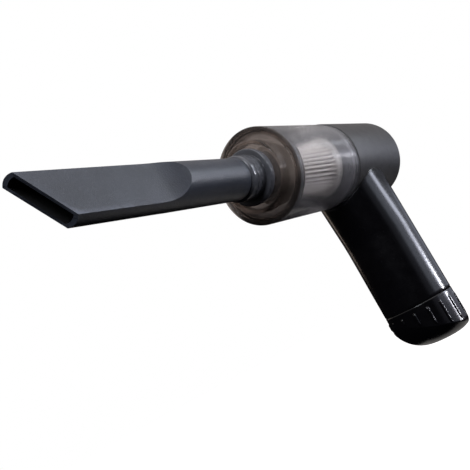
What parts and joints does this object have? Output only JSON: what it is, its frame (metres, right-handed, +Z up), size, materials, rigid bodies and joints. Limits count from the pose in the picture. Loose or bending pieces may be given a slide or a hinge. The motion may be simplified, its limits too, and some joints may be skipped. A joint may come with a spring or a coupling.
{
  "type": "handheld vacuum",
  "caption": "Pistol-shaped cordless handheld vacuum with a clear dust cup, pleated filter, motor barrel, round battery handle and a slant-cut crevice nozzle.",
  "frame": {"origin": "centre of the grip, on the handle's axis, halfway down the handle", "axes": "+Z up along the handle towards the barrel, +X along the barrel away from the nozzle, +Y to the side"},
  "size_m": [0.3228, 0.0624, 0.1793],
  "materials": {
    "nozzle_black": "fine-grained satin",
    "neck_smoke": "smooth, glossy",
    "smoked_clear": "clear, polished, grey-brown tint",
    "seal_rubber": "dull",
    "filter_plastic": "satin",
    "filter_paper": "pleated, soft",
    "bulkhead_black": "satin",
    "housing_grey": "fine-grained satin",
    "fan_plastic": "satin",
    "impeller_alloy": "machined",
    "steel": "satin",
    "motor_alloy": "satin",
    "foam": "open-cell foam",
    "handle_gloss": "high gloss",
    "button_black": "satin",
    "board_green": "solder mask",
    "switch_plastic": "satin",
    "socket_steel": "satin",
    "lens_white": "translucent",
    "cell_wrap": "shrink-wrapped",
    "holder_plastic": "satin"
  },
  "bodies": {
    "root": {"bulkhead": "bulkhead_black", "cup_seal": "seal_rubber", "motor_housing": "housing_grey", "fan_shroud": "fan_plastic", "shroud_seal": "seal_rubber", "motor_can": "motor_alloy", "motor_bracket": "fan_plastic", "motor_bearings": "steel", "motor_mount_rear": "seal_rubber", "rear_cover": "housing_grey", "exhaust_foam": "foam", "rear_screws": "steel", "handle_shell": "handle_gloss", "switch_board": "board_green", "tact_switch": "switch_plastic", "control_board": "board_green", "charge_port": "socket_steel", "status_lens": "lens_white", "battery_cell_1": "cell_wrap", "battery_cell_2": "cell_wrap", "battery_cell_3": "cell_wrap", "battery_holder_upper": "holder_plastic", "battery_holder_lower": "holder_plastic", "battery_links": "steel"},
    "cup": {"dust_cup": "smoked_clear"},
    "cover": {"front_cover": "smoked_clear", "cover_seal": "seal_rubber", "inlet_neck": "neck_smoke", "flap_pin": "steel"},
    "flap": {"inlet_flap": "seal_rubber"},
    "nozzle": {"crevice_nozzle": "nozzle_black"},
    "filter": {"filter_front_cap": "filter_plastic", "filter_media": "filter_paper", "filter_cage": "filter_plastic", "filter_rear_ring": "filter_plastic", "filter_gasket": "seal_rubber"},
    "rotor": {"motor_shaft": "steel", "impeller": "impeller_alloy"},
    "button": {"power_button": "button_black"},
    "cap": {"end_cap": "handle_gloss", "cap_seal": "seal_rubber"}
  },
  "joints": [
    {"name": "cup_pull", "type": "slide", "parent": "root", "child": "cup", "axis": [-1, 0, 0], "range_m": [0, 0.085]},
    {"name": "cover_twist", "type": "hinge", "parent": "cup", "child": "cover", "pos_m": [-0.1075, 0, 0.088], "axis": [1, 0, 0], "range_deg": [0, 30]},
    {"name": "nozzle_pull", "type": "slide", "parent": "cover", "child": "nozzle", "axis": [-1, 0, 0], "range_m": [0, 0.016]},
    {"name": "flap_swing", "type": "hinge", "parent": "cover", "child": "flap", "pos_m": [-0.1153, 0, 0.0992], "axis": [0, -1, 0], "range_deg": [0, 55], "stiffness_Nm_per_rad": 0.002, "springref_deg": -11.46},
    {"name": "filter_pull", "type": "slide", "parent": "root", "child": "filter", "axis": [-1, 0, 0], "range_m": [0, 0.0055]},
    {"name": "rotor_spin", "type": "hinge", "parent": "root", "child": "rotor", "pos_m": [-0.0075, 0, 0.088], "axis": [1, 0, 0], "continuous": true},
    {"name": "button_press", "type": "slide", "parent": "root", "child": "button", "axis": [-1, 0, 0], "range_m": [0, 0.0012], "stiffness_N_per_m": 600, "springref_m": -0.001},
    {"name": "cap_twist", "type": "hinge", "parent": "root", "child": "cap", "pos_m": [0, 0, -0.0297], "axis": [0, 0, -1], "range_deg": [0, 60]}
  ]
}
